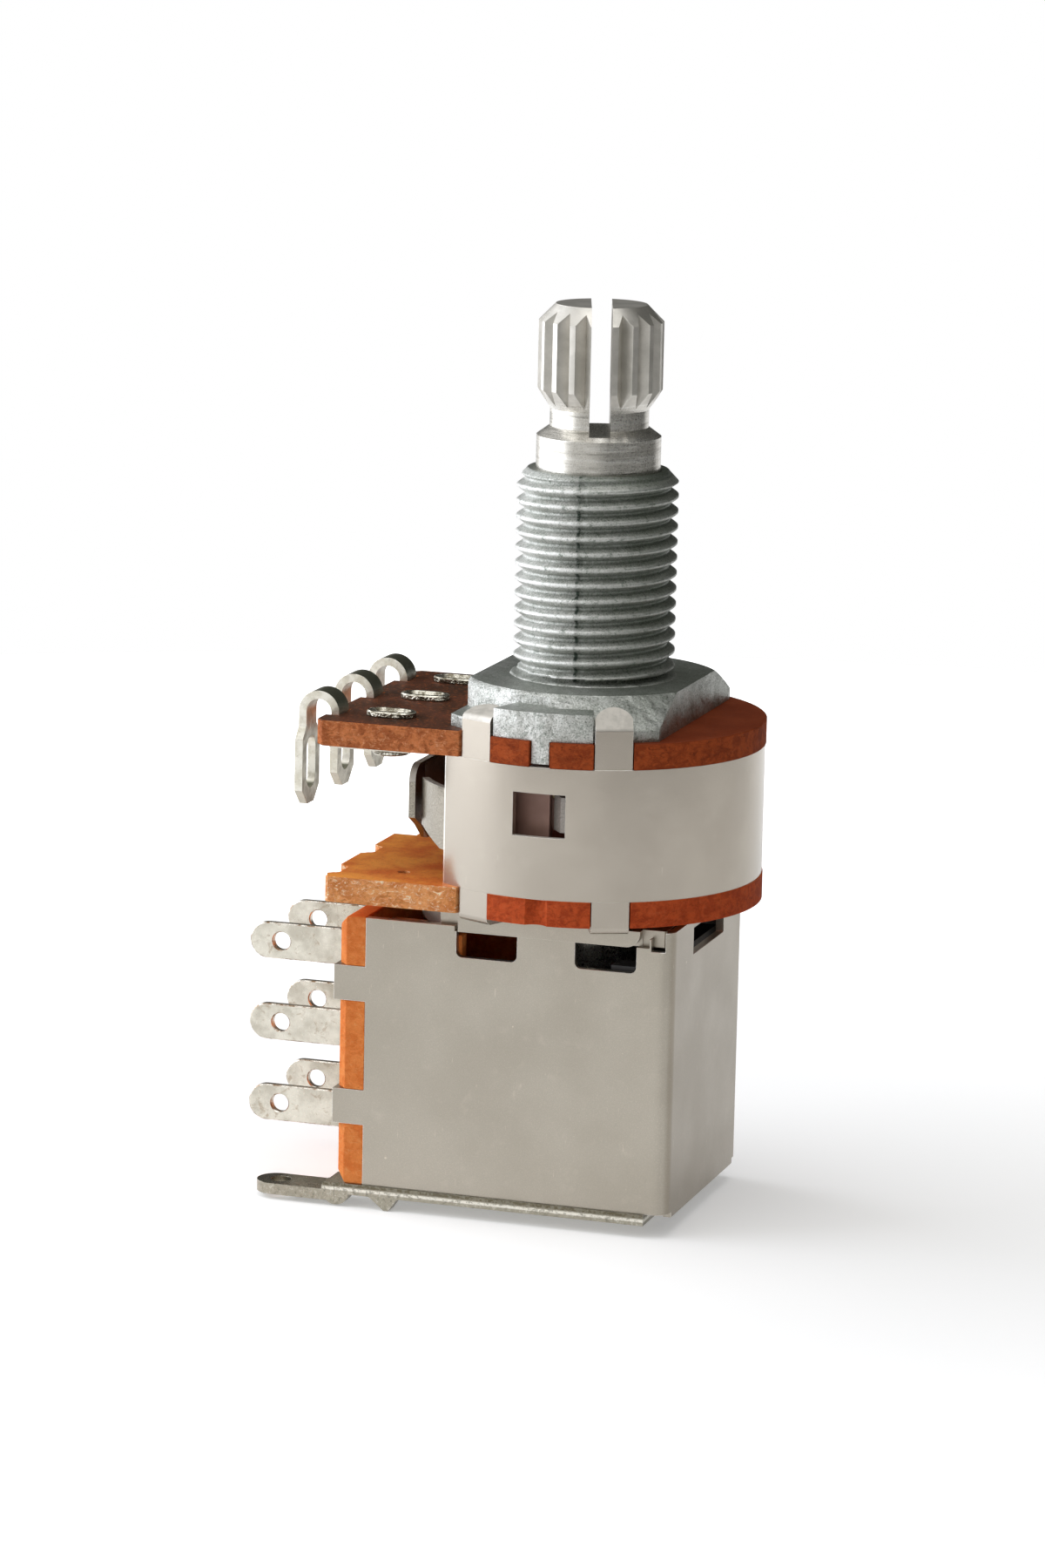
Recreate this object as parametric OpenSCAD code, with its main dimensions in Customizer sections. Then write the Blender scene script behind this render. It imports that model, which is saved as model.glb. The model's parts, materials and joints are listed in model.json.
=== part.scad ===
// Rotary potentiometer with a push-pull switch under it.
// Origin: shaft axis at the seat face of the threaded bushing. +Z runs out of the
// bushing along the shaft, the solder lugs point to -X, the closed side is +X.

/* [Bushing] */
// Outside diameter of the bushing thread
thread_d = 7.85; // [7.7:0.05:8]
// Length of the bushing above its seat face
bushing_len = 10; // [8:0.5:12]
// Pitch of the bushing thread
pitch = 0.75; // [0.7:0.05:1]
// Height of the cast flange from the wafer to the seat face
flange_h = 1.9; // [1.7:0.1:2.3]
// Width of the flange between its two flats
flange_w = 10.35; // [10.2:0.05:10.8]
// Diameter of the round seat face
seat_d = 12.2; // [11.8:0.1:12.6]

/* [Shaft] */
// Diameter of the round shaft
shaft_d = 6; // [5.6:0.1:6.2]
// Height of the shaft above the bushing when pushed in
shaft_out = 7.9; // [7.4:0.1:10]
// Number of knurl teeth
knurl_teeth = 18; // [16:2:24]
// Width of the saw cut through the knurled end
slot_w = 1; // [0.8:0.05:1.2]
// Depth of the saw cut
slot_depth = 6.1; // [5:0.1:6.4]

/* [Resistor body] */
// Outside diameter of the folded can
can_d = 16.8; // [16.6:0.05:17.2]
// Height of the can between the two wafers
can_h = 6.35; // [6.2:0.05:7]
// Thickness of the two laminate wafers
wafer_t = 1.25; // [1.1:0.05:1.5]
// Reach of the upper wafer's tongue from the shaft axis
tongue_x = 11.6; // [11.2:0.05:12]
// Width of both tongues
tongue_w = 14.7; // [14.3:0.1:15]
// Spacing of the three looped terminals
lug_pitch = 5; // [4.7:0.1:5]

/* [Switch] */
// Depth of the folded switch frame from front to back
frame_d = 12.5; // [12.2:0.1:13]
// Height of the switch from the seat plate to the underside
switch_h = 13.6; // [13.5:0.1:14.6]
// Spacing of the switch contacts and travel of the shaft
travel = 4.1; // [3.8:0.05:4.15]
// Distance between the two rows of switch lugs
row_gap = 5.3; // [5:0.1:5.6]
// Reach of the switch lugs from the shaft axis
blade_tip = 16.45; // [15.5:0.1:17.5]
// Height of a switch lug
blade_h = 1.8; // [1.6:0.05:1.95]

/* [Hidden] */
$fn = 96;
eps = 0.01;
play = 0.03;

// Heights, all measured from the seat face
z_wafer = -flange_h;
z_can = z_wafer - wafer_t;
z_low = z_can - can_h;
z_foot = z_low - wafer_t;
can_t = 0.33;
z_plate = z_foot - can_t;
plate_t = 0.8;
z_frame = z_plate - plate_t;
z_bottom = z_frame - switch_h;
base_t = 0.55;
z_floor = z_bottom + base_t;

// Flange and bushing
rim_r = can_d / 2 - 0.4;
rim_h = 0.55;
pad_r = can_d / 2 - 0.1;
pad_top = -0.55;
pad_half = 17.3;
ledge_r = seat_d / 2 + 0.2;
ledge_z = z_wafer + rim_h + 0.02;
spigot_r = 4.2;
lead = 0.6;
thread_r = thread_d / 2;
root_r = thread_r - 0.54 * pitch;
crest_flat = 0.12;
first_crest = 0.52;
turns = floor((bushing_len - first_crest - lead + 0.2) / pitch);
key_w = 0.87;
key_len = wafer_t - 0.15;

// Can
can_r = can_d / 2;
can_in = can_r - can_t;
tab_off = 24.2;
tab_w = 1.8;
mouth = 129;
wafer_r = can_r + 0.05;
tab_in = can_in - 0.06;
tab_out = tab_in + can_t;
notch_r = tab_in - 0.04;
tab_turns = [-90 - tab_off, -90 + tab_off, 90 - tab_off, 90 + tab_off];
tab_leans = [73, 28, 53, 72];
tab_reach = [1.1, 1.05, 0.9, 1.1];
window_half = 8.9;
window_low = z_low + 3;
window_tall = 2.1;
stop_tall = 1.7;
stop_t = 0.28;
ear_turn = 148;
mouth_x = can_r * cos(mouth);
ear_x = can_r * cos(ear_turn);
strap_x = can_r - 0.55;
strap_fold = sqrt(can_r * can_r - strap_x * strap_x) + 0.26;
strap_end = can_r * sin(ear_turn) - 0.15;
strap_top = z_can - 1.22;
strap_low = z_low + 1.2;

// Shaft
shaft_r = shaft_d / 2;
z_tip = bushing_len + shaft_out;
neck_r = shaft_r - 0.62;
flat_x = shaft_r - 0.8;
web_top = -16.4 + (z_frame + 11.88);
web_t = 2.5;
journal_r = 2;
groove_r = 1.6;
clip_t = 0.3;
clip_r = 2.9;
clip_gap = 2.6;
clip_top = web_top - web_t - 0.1;

// Rotor and wiper
hub_r = 4.3;
hub_top = z_can - 0.3;
hub_bot = z_low + 0.1;
disc_r = can_in - 1.25;
disc_top = z_can - 1.75;
disc_bot = disc_top - 1.4;
lug_r = can_in - 0.8;
stop_end = -88.4;
stop_span = 52;
print_t = 0.08;
print_w = disc_r - hub_r;
ring_in = hub_r + 0.1 * print_w;
ring_out = hub_r + 0.35 * print_w;
track_in = hub_r + 0.53 * print_w;
track_out = hub_r + 0.98 * print_w;
rivet_x = can_r + 0.15;

// Looped terminals
strap_t = 0.4;
strap_w = 1.4;
low_reach = tongue_x - 0.4;
loop_r = 1.03;
loop_x = tongue_x + 0.4;
nib_w = 1.7;
nib_d = 0.68;
eye_w = 2.4;
eye_bot = z_wafer - 4.55;
eye_point = 0.45;
slot_r = 0.62;
slot_top = z_wafer - 1.9;
slot_bot = eye_bot + 1.35;
tail_w = 1.9;
tail_end = 1.25;
rivet_r = 0.6;
rivet_bore = 0.28;
head_r = 0.72;
head_half = 0.5;
head_h = 0.28;
dish_r = 0.45;
foot_r = 0.9;
foot_h = 0.25;

// Switch
sheet = 0.4;
frame_round = 0.7;
relief_r = 0.34;
crimp_half = 0.86;
frame_r = 6.15;
frame_l = 9.25;
board_t = 1.4;
board_bevel = 0.6;
end_bevel = 0.7;
cheek_x = 4.5;
board_l = frame_l + board_t;
half_d = frame_d / 2;
row_y = row_gap / 2;
blade_t = 0.4;
blade_eye_r = 0.45;
blade_eye = 1.63;
contact_half = 2.6;
contact_t = 0.2;
lug_top = z_frame - 2.13;
lug_z = [lug_top, lug_top - travel, lug_top - 2 * travel];
contact_z = lug_z[1] - travel / 2;
cheek_in = half_d - sheet - 0.75;
slider_h = -web_top + z_floor;
slider_y = cheek_in - 0.1;
slider_wide = half_d - sheet - 0.12;
slider_nose = 4.2;
slider_back = 6.6;
slider_waist = 4.2;
pocket_r = 3.3;
groove_cut = 0.55;
spring_w = 6;
leaf_t = 0.2;
post_x = 3;
web_wall = 0.5;
post_y = half_d - 1.65;
guide_top = z_frame - 1.05;
lip_half = 4.55;
window_w = 3.05;
window_x = 2.98;
window_h = 1.28;
spring_z = web_top - 2.1;
base_over = 0.12;
base_end = 5.05;
earth_r = 1;
earth_x = board_l + 3.3;
earth_hole = 0.5;
bump_t = 0.77;
bump_x = 10.6;

// Flat sector of a disc, from turn a to turn b, less than half a turn
module sector(r, a, b) {
    m = (a + b) / 2;
    polygon([[0, 0], [r * cos(a), r * sin(a)], [1.5 * r * cos(m), 1.5 * r * sin(m)],
        [r * cos(b), r * sin(b)]]);
}

module ring(r_out, r_in, h) {
    difference() {
        cylinder(r = r_out, h = h);
        translate([0, 0, -1]) cylinder(r = r_in, h = h + 2);
    }
}

// Box given by two opposite corners
module block(a, b) {
    translate([min(a[0], b[0]), min(a[1], b[1]), min(a[2], b[2])])
        cube([abs(b[0] - a[0]), abs(b[1] - a[1]), abs(b[2] - a[2])]);
}

// Plan of a ledge cut into the cone on the lug side, from turn a to turn b past the pad's middle
module ledge(side, a, b) {
    difference() {
        if (side < 0) {
            sector(2 * can_r, -90 - b, -90 - a);
        } else {
            sector(2 * can_r, 90 + a, 90 + b);
        }
        circle(r = ledge_r);
    }
}

// Cast flange: a cone from the rim to the round seat, cut by two flats and two ledges
module flange() {
    difference() {
        intersection() {
            rotate_extrude()
                polygon([[0, z_wafer], [rim_r, z_wafer], [rim_r, z_wafer + rim_h],
                    [seat_d / 2, 0], [0, 0]]);
            block([-flange_w / 2, -can_r, z_wafer - 1], [flange_w / 2, can_r, 1]);
        }
        for (side = [-1, 1]) {
            translate([0, 0, ledge_z]) linear_extrude(3) ledge(side, 107 - 90, 62);
            translate([0, 0, pad_top - 0.2]) linear_extrude(3) ledge(side, 1, 62);
        }
    }
    for (side = [-90, 90]) {
        intersection() {
            translate([0, 0, z_wafer]) ring(pad_r, seat_d / 2 - 1.6, pad_top - z_wafer);
            translate([0, 0, z_wafer - 1]) linear_extrude(3)
                sector(2 * can_r, side - pad_half, side + pad_half);
        }
    }
}

// Threaded rod: the thread as level V rings, with a bevelled first turn
module thread_rod() {
    rings = [for (i = [0 : turns - 1]) let (z = first_crest + i * pitch)
        each [[thread_r, z - crest_flat / 2], [thread_r, z + crest_flat / 2], [root_r, z + pitch / 2]]];
    last = first_crest + turns * pitch;
    rotate_extrude()
        polygon(concat([[0, -0.2], [thread_r, -0.2], [thread_r, 0.08], [thread_r - 0.25, first_crest / 2]],
            rings, [[thread_r - 0.12, last - crest_flat], [thread_r - lead, bushing_len], [0, bushing_len]]));
}

module bushing() {
    color("silver") difference() {
        union() {
            flange();
            for (side = [-1, 1]) {
                intersection() {
                    block([-key_w / 2, side * (can_in - 0.6), z_wafer - key_len],
                        [key_w / 2, side * can_r, z_wafer + 0.5]);
                    translate([0, 0, z_can]) cylinder(r = pad_r, h = flange_h + wafer_t);
                }
            }
            translate([0, 0, z_can - 0.12]) cylinder(r = spigot_r, h = wafer_t + 0.5);
            thread_rod();
        }
        translate([0, 0, z_can - 1])
            cylinder(r = shaft_r + play, h = bushing_len - z_can + 2);
    }
}

// Knurled end: a turned blank with bevels, cut by V grooves
module knurl_blank() {
    z_neck = bushing_len + 2.05;
    z_low_bevel = z_neck + 0.85;
    rotate_extrude()
        polygon([[0, web_top], [shaft_r, web_top], [shaft_r, bushing_len + 1.6],
            [neck_r, z_neck], [neck_r, z_low_bevel], [shaft_r, z_low_bevel + 0.95],
            [shaft_r, z_tip - 0.8], [2.2, z_tip], [0, z_tip]]);
}

module knurl_grooves() {
    step = 360 / knurl_teeth;
    groove_w = shaft_r * sin(step / 2);
    for (i = [0 : knurl_teeth - 1]) {
        rotate([0, 0, (i + 0.5) * step]) translate([0, 0, bushing_len + 2.1])
            linear_extrude(shaft_out)
                polygon([[shaft_r - 0.5, 0], [shaft_r + 0.2, -groove_w * 1.05],
                    [shaft_r + 0.2, groove_w * 1.05]]);
    }
}

module shaft() {
    color("gainsboro") difference() {
        union() {
            knurl_blank();
            translate([0, 0, clip_top - 1.1]) cylinder(r = journal_r, h = 4);
        }
        knurl_grooves();
        rotate([0, 0, 17.6]) block([-slot_w / 2, -5, z_tip - slot_depth], [slot_w / 2, 5, z_tip + 1]);
        for (side = [-1, 1]) {
            block([side * flat_x, -4, web_top - 1], [side * (shaft_r + 1), 4, z_wafer + 0.4]);
        }
        translate([0, 0, clip_top - clip_t - 0.02]) ring(journal_r + 1, groove_r, clip_t + 0.04);
    }
}

// Snap ring in the groove at the lower end of the shaft
module shaft_clip() {
    color("dimgray") translate([0, 0, clip_top - clip_t]) difference() {
        ring(clip_r, groove_r, clip_t);
        translate([0, -clip_gap / 2, -1]) cube([clip_r + 1, clip_gap, 3]);
    }
}

// Outline shared by both wafers: a disc with a tongue to the left
module wafer_outline(reach) {
    difference() {
        union() {
            circle(r = wafer_r);
            translate([-reach, -tongue_w / 2]) square([reach - 3.5, tongue_w]);
        }
        for (turn = tab_turns) {
            rotate(turn) translate([notch_r, -tab_w / 2 - 0.06]) square([2, tab_w + 0.12]);
        }
        for (side = [-1, 1]) {
            translate([-reach, side * tongue_w / 2]) rotate(45) square(0.5, center = true);
        }
    }
}

module upper_wafer() {
    color("sienna") translate([0, 0, z_can]) linear_extrude(wafer_t) difference() {
        wafer_outline(tongue_x);
        circle(r = spigot_r);
        for (side = [-1, 1]) {
            translate([-key_w / 2 - 0.07, side * (can_r - 0.35) - 0.7]) square([key_w + 0.14, 1.4]);
        }
        for (i = [-1 : 1]) {
            translate([-tongue_x - 1, i * lug_pitch - nib_w / 2]) square([nib_d + 1, nib_w]);
            translate([-rivet_x, i * lug_pitch]) circle(r = rivet_r);
        }
    }
}

// Printed resistive arc on the underside of the upper wafer
module carbon_track() {
    color("black") translate([0, 0, z_can - print_t]) linear_extrude(print_t) difference() {
        circle(r = track_out);
        circle(r = track_in);
        sector(12, 150, 210);
    }
}

// Printed conductors: the inner ring with its lead and the two end pads
module silver_print() {
    color("silver") translate([0, 0, z_can - print_t]) linear_extrude(print_t) {
        difference() {
            union() {
                circle(r = ring_out);
                translate([-rivet_x + 1.3, -0.5]) square([3.5, 1]);
            }
            circle(r = ring_in);
        }
        for (side = [-1, 1]) {
            polygon([[-4.95, side * 2.95], [-5.9, side * 3.4], [-rivet_x + 1.3, side * 5.3],
                [-rivet_x + 1.3, side * 3.6], [-6, side * 2.5], [-5.4, side * 1.7], [-4.9, side * 2.75]]);
        }
    }
}

// One sheet strip: rivet pad under the tongue, loop over its end, solder eye outside
module looped_terminal(i) {
    y0 = i * lug_pitch;
    x_in = -loop_x + loop_r - strap_t;
    x_out = -loop_x - loop_r;
    z_mid = z_wafer + 0.05;
    color("lightgray") difference() {
        union() {
            block([-rivet_x + tail_end, y0 - tail_w / 2, z_can], [x_in, y0 + tail_w / 2, z_can - can_t]);
            block([x_in, y0 - strap_w / 2, z_can - can_t], [x_in + strap_t, y0 + strap_w / 2, z_mid]);
            translate([-loop_x, y0 + strap_w / 2, z_mid]) rotate([90, 0, 0]) difference() {
                cylinder(r = loop_r, h = strap_w);
                translate([0, 0, -1]) cylinder(r = loop_r - strap_t, h = strap_w + 2);
                translate([-4, -8, -1]) cube([8, 8, strap_w + 2]);
            }
            block([x_out, y0 - strap_w / 2, z_wafer - 1.4], [x_out + strap_t, y0 + strap_w / 2, z_mid]);
            translate([x_out, y0, 0]) rotate([90, 0, 90]) linear_extrude(strap_t)
                polygon([[-strap_w / 2, z_wafer - 0.7], [-eye_w / 2, z_wafer - 1.3],
                    [-eye_w / 2, eye_bot + 0.75], [-eye_point, eye_bot], [eye_point, eye_bot],
                    [eye_w / 2, eye_bot + 0.75], [eye_w / 2, z_wafer - 1.3], [strap_w / 2, z_wafer - 0.7]]);
        }
        translate([x_out - 1, y0, 0]) rotate([90, 0, 90]) linear_extrude(3) {
            translate([0, slot_top]) circle(r = slot_r);
            translate([-slot_r, slot_bot]) square([2 * slot_r, slot_top - slot_bot]);
            translate([0, slot_bot]) circle(r = slot_r);
        }
        translate([-rivet_x, y0, z_can - 2]) cylinder(r = rivet_r, h = 3);
    }
}

module terminal_1() { looped_terminal(-1); }
module terminal_2() { looped_terminal(0); }
module terminal_3() { looped_terminal(1); }

// Three eyelets: oval dished head on top, shank, spread foot below
module terminal_rivets() {
    for (i = [-1 : 1]) {
        color("lightgray") translate([-rivet_x, i * lug_pitch, 0]) difference() {
            union() {
                translate([0, 0, z_can - can_t - foot_h])
                    cylinder(r = rivet_r, h = wafer_t + can_t + foot_h + head_h / 2);
                translate([0, 0, z_can - can_t - foot_h]) cylinder(r = foot_r, h = foot_h);
                translate([0, 0, z_wafer]) linear_extrude(head_h) {
                    translate([-head_half, 0]) circle(r = head_r);
                    translate([head_half, 0]) circle(r = head_r);
                    square([2 * head_half, 2 * head_r], center = true);
                }
            }
            translate([0, 0, z_can - 1]) cylinder(r = rivet_bore, h = 4);
            translate([0, 0, z_wafer + head_h / 2]) linear_extrude(1) {
                translate([-dish_r, 0]) circle(r = dish_r);
                translate([dish_r, 0]) circle(r = dish_r);
                square([2 * dish_r, 2 * dish_r], center = true);
            }
        }
    }
}

module rotor() {
    color("saddlebrown") difference() {
        union() {
            translate([0, 0, hub_bot]) cylinder(r = hub_r, h = hub_top - hub_bot);
            translate([0, 0, disc_bot]) cylinder(r = disc_r, h = disc_top - disc_bot);
            intersection() {
                translate([0, 0, disc_bot - 0.8]) ring(lug_r, disc_r - 0.1, 3.2);
                translate([0, 0, disc_bot - 1]) linear_extrude(4)
                    sector(2 * can_r, stop_end - stop_span, stop_end);
            }
        }
        difference() {
            translate([0, 0, hub_bot - 1]) cylinder(r = shaft_r + 0.05, h = can_h + 2);
            for (side = [-1, 1]) {
                block([side * (flat_x + 0.04), -4, hub_bot - 2], [side * 5, 4, hub_top + 2]);
            }
        }
    }
}

// Spring wiper: a washer on the rotor disc with two curved fingers, one per printed ring
module wiper() {
    contact_top = z_can - print_t - 0.02;
    rise = contact_top - disc_top;
    color("gold") rotate([0, 0, 150]) {
        translate([0, 0, disc_top]) ring(disc_r - 0.1, hub_r, 0.18);
        for (r0 = [(ring_in + ring_out) / 2, (track_in + track_out) / 2]) {
            translate([r0 + 0.22, 2.4, disc_top]) rotate([90, 0, -90]) linear_extrude(0.44)
                polygon([[-0.6, 0.1], [0, 0.1], [2.1, rise - 0.12], [2.4, rise - 0.02], [2.7, rise - 0.2],
                    [2.8, rise - 0.3], [2.65, rise - 0.4], [2.4, rise - 0.2], [2.1, rise - 0.32],
                    [0.1, 0], [-0.6, 0]]);
        }
    }
}

// Points of a round bend about x, z from turn a to turn b
function bend(x, z, r, a, b) = [for (i = [0 : 6]) let (t = a + (b - a) * i / 6)
    [x + r * cos(t), z + r * sin(t)]];

// Tab of the can: rises past the wafer, then leans in over the flange
module upper_tab(lean, reach) {
    rise = z_wafer + rim_h + 0.05;
    arc = bend(tab_in, rise, can_t, 0, lean);
    tip = [-reach * sin(lean), reach * cos(lean)];
    intersection() {
        translate([0, tab_w / 2, 0]) rotate([90, 0, 0]) linear_extrude(tab_w)
            polygon(concat([[tab_in, z_can - 0.6], [tab_out, z_can - 0.6]], arc,
                [arc[6] + tip, [tab_in, rise] + tip, [tab_in, rise]]));
        translate([tab_in, 0, rise]) rotate([0, -lean, 0]) rotate([90, 0, 90])
            translate([0, 0, -6]) linear_extrude(12) {
                translate([-3, -9]) square([6, 9 + reach - 0.75]);
                translate([0, reach - 1]) circle(r = 1);
            }
    }
}

// Tab of the can: drops past the lower wafer, then folds flat under it
module lower_tab() {
    foot_in = can_r - 1.75;
    translate([0, tab_w / 2, 0]) rotate([90, 0, 0]) linear_extrude(tab_w)
        polygon(concat([[tab_in, z_low + 0.6], [tab_in, z_foot], [foot_in, z_foot],
            [foot_in, z_foot - can_t]], bend(tab_in, z_foot, can_t, -90, 0), [[tab_out, z_low + 0.6]]));
}

// Closing strap: the rear ear runs on, folds and crosses the mouth flat to the front ear
module closing_strap() {
    bow = 180 - asin((strap_fold - 0.02) / can_r);
    corner = 0.85;
    intersection() {
        translate([0, 0, z_low]) linear_extrude(can_h) {
            intersection() {
                difference() {
                    circle(r = can_r);
                    circle(r = can_in);
                }
                sector(3 * can_r, mouth - 3, bow);
            }
            translate([-strap_x, -strap_end]) square([can_t, strap_end + strap_fold]);
        }
        rotate([90, 0, 90]) linear_extrude(40, center = true) {
            translate([-strap_end + corner, strap_top - corner]) circle(r = corner);
            polygon([[-strap_end + corner, strap_top], [can_r, strap_top], [can_r, strap_low],
                [-strap_end + 2, strap_low], [-strap_end + 0.9, strap_low + 0.85],
                [-strap_end, strap_low + 1.35], [-strap_end, strap_top - corner],
                [-strap_end + corner, strap_top - corner]]);
        }
    }
}

module can() {
    color("lightgray") difference() {
        union() {
            difference() {
                translate([0, 0, z_low]) ring(can_r, can_in, can_h);
                translate([0, 0, z_low - 1]) linear_extrude(can_h + 2) sector(3 * can_r, mouth, 360 - mouth);
            }
            intersection() {
                translate([0, 0, z_low]) ring(can_r, can_in, can_h);
                translate([0, 20, 0]) rotate([90, 0, 0]) linear_extrude(40)
                    polygon([[mouth_x + 0.19, z_low + 1.6], [mouth_x - 0.3, z_low + 1.6],
                        [ear_x + 0.12, z_low + 2.3], [ear_x - 1.9, z_low + 2.4],
                        [ear_x - 1.9, z_can - 1.7], [mouth_x + 0.19, z_can - 1.75]]);
                translate([0, 0, z_low - 1]) linear_extrude(can_h + 2)
                    sector(3 * can_r, -ear_turn, 3 - mouth);
            }
            closing_strap();
            for (i = [0 : 3]) {
                rotate([0, 0, tab_turns[i]]) upper_tab(tab_leans[i], tab_reach[i]);
                rotate([0, 0, tab_turns[i]]) lower_tab();
            }
            stop_tongue();
        }
        rotate([0, 0, -90]) intersection() {
            translate([0, 0, window_low]) linear_extrude(window_tall)
                sector(3 * can_r, -window_half, window_half);
            translate([can_in - 0.2, -3, window_low]) cube([2, 6, window_tall]);
        }
    }
}

// Tongue cut from the window and bent inward, which stops the rotor
module stop_tongue() {
    rotate([0, 0, -90 + window_half + 0.8]) translate([can_in - 0.02, 0, window_low + 0.2])
        rotate([0, 0, 28]) translate([-1.2, -stop_t, 0]) cube([1.4, stop_t, stop_tall]);
}

module lower_wafer() {
    color("chocolate") translate([0, 0, z_foot]) linear_extrude(wafer_t) difference() {
        wafer_outline(low_reach);
        circle(r = shaft_r + 0.3);
        for (side = [-1, 1]) {
            translate([0, side * (wafer_r + 0.42)]) circle(r = 0.7);
        }
        for (i = [-1 : 1]) {
            translate([-low_reach, i * lug_pitch - 0.55]) {
                translate([-1, -0.8]) square([1.25, 1.6]);
                translate([0.25, -0.5]) square([0.3, 1]);
                for (side = [-1, 1]) {
                    translate([0.25, side * 0.5]) circle(r = 0.3);
                    translate([0, side * 0.8]) rotate(45) square(0.42, center = true);
                }
            }
        }
        translate([-low_reach - 1, lug_pitch - 1.6]) square([2.15, tongue_w]);
        translate([-low_reach, -tongue_w / 2 + 0.45]) rotate(20) square([0.3, 0.6], center = true);
        translate([-7.8, -lug_pitch]) circle(r = 0.3);
    }
}

// Thick plate that seats the resistor body on the switch frame, with a lip at front and back
module seat_plate() {
    round = 0.7;
    color("silver") difference() {
        translate([0, 0, z_frame]) linear_extrude(plate_t) difference() {
            intersection() {
                circle(r = can_in);
                union() {
                    translate([-12, -half_d + sheet + 0.04])
                        square([12 + frame_r - sheet - 0.05, frame_d - 2 * sheet - 0.08]);
                    translate([-lip_half, -half_d - 0.12]) square([2 * lip_half, frame_d + 0.24]);
                }
            }
            circle(r = shaft_r + 0.4);
        }
        for (side = [-1, 1]) {
            translate([lip_half - round, 0, z_frame + round]) rotate([90, 0, 0]) difference() {
                translate([0, -round - 1, side * half_d - 0.35]) cube([round + 1, round + 1, 0.7]);
                translate([0, 0, side * half_d - 1]) cylinder(r = round, h = 2);
            }
        }
    }
}

// Plan of the folded sheet: front, right side and back with round bends
module frame_plan() {
    difference() {
        union() {
            translate([-frame_l, -half_d]) square([frame_l + frame_r - frame_round, frame_d]);
            translate([0, -half_d + frame_round]) square([frame_r, frame_d - 2 * frame_round]);
            for (side = [-1, 1]) {
                translate([frame_r - frame_round, side * (half_d - frame_round)]) circle(r = frame_round);
            }
        }
        translate([-frame_l - 1, -half_d + sheet])
            square([frame_l + frame_r + 1 - frame_round, frame_d - 2 * sheet]);
        translate([0, -half_d + frame_round]) square([frame_r - sheet, frame_d - 2 * frame_round]);
        for (side = [-1, 1]) {
            translate([frame_r - frame_round, side * (half_d - frame_round)]) circle(r = frame_round - sheet);
        }
    }
}

// Notch with round lower corners, seen from the front
module notch(w, depth) {
    translate([-w / 2, -depth + 0.3]) square([w, depth + 3]);
    translate([-w / 2 + 0.3, -depth]) square([w - 0.6, 1]);
    for (side = [-1, 1]) {
        translate([side * (w / 2 - 0.3), -depth + 0.3]) circle(r = 0.3);
    }
}

// Crimp tab that holds the terminal board in the frame
module crimp_tab(z0) {
    block([-frame_l + eps, -half_d, z0 - crimp_half], [-board_l - 0.1, -half_d + sheet, z0 + crimp_half]);
    block([-board_l + 0.2, -half_d, z0 - crimp_half], [-board_l - 0.2, -half_d + 1.5, z0 + crimp_half]);
}

crimp_z = [z_frame - 3.05, z_frame - 9.2];

module switch_frame() {
    color("darkgray") {
        difference() {
            translate([0, 0, z_floor]) linear_extrude(z_foot - 0.35 - z_floor) frame_plan();
            block([-4.75, -10, z_frame], [5, 10, 5]);
            block([-frame_l - 1, -10, z_frame + 0.25], [-4.6, 10, 5]);
            block([4.9, -10, z_frame + 0.45], [frame_r - frame_round, 10, 5]);
            for (x0 = [-window_x - 0.15, window_x - 0.15]) {
                translate([x0, 10, z_frame]) rotate([90, 0, 0]) linear_extrude(20)
                    notch(window_w, window_h);
            }
            for (side = [-1, 1]) {
                translate([frame_r - frame_round - 0.02, side * (half_d - sheet), z_frame - 0.15]) {
                    cylinder(r = relief_r, h = 5);
                    translate([-relief_r, side > 0 ? 0 : -1, 0]) cube([2 * relief_r, 1, 5]);
                }
            }
            block([frame_r - 1, -2.65, z_frame - 0.92], [frame_r + 1, 2.65, 5]);
        }
        block([frame_r - sheet, -half_d + 0.9, z_bottom + 0.28], [frame_r, half_d - 0.9, z_floor + 1]);
        for (z0 = crimp_z) {
            crimp_tab(z0);
            mirror([0, 1, 0]) crimp_tab(z0);
        }
    }
}

// Laminate board that carries the switch lugs, with two guide cheeks inside the frame
module terminal_board() {
    color("darkorange") difference() {
        union() {
            block([-board_l, -half_d, z_floor], [-frame_l, half_d, z_frame + 0.27]);
            for (side = [-1, 1]) {
                block([-frame_l - eps, side * cheek_in, z_floor],
                    [-cheek_x, side * (half_d - sheet), z_frame - 0.3]);
            }
        }
        for (z0 = crimp_z) {
            for (side = [-1, 1]) {
                block([-board_l - 1, side * (half_d - sheet), z0 - crimp_half],
                    [-frame_l + 1, side * 9, z0 + crimp_half]);
                block([-board_l - 1, side * (half_d - 1.5), z0 - crimp_half],
                    [-board_l + 0.2, side * 9, z0 + crimp_half]);
            }
        }
        for (z0 = lug_z) {
            for (side = [-1, 1]) {
                block([-board_l - 1, side * row_y - blade_t / 2, z0 - blade_h / 2],
                    [-frame_l + 1, side * row_y + blade_t / 2, z0 + blade_h / 2]);
            }
        }
        for (side = [-1, 1]) {
            translate([-board_l, side * half_d, z_floor - 1]) rotate([0, 0, 45])
                translate([-board_bevel / 2, -board_bevel / 2, 0])
                    cube([board_bevel, board_bevel, switch_h + 2]);
        }
        for (end = [z_floor, z_frame + 0.27]) {
            translate([-board_l, 0, end]) rotate([0, 45, 0])
                cube([end_bevel, 20, end_bevel], center = true);
        }
    }
}

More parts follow.
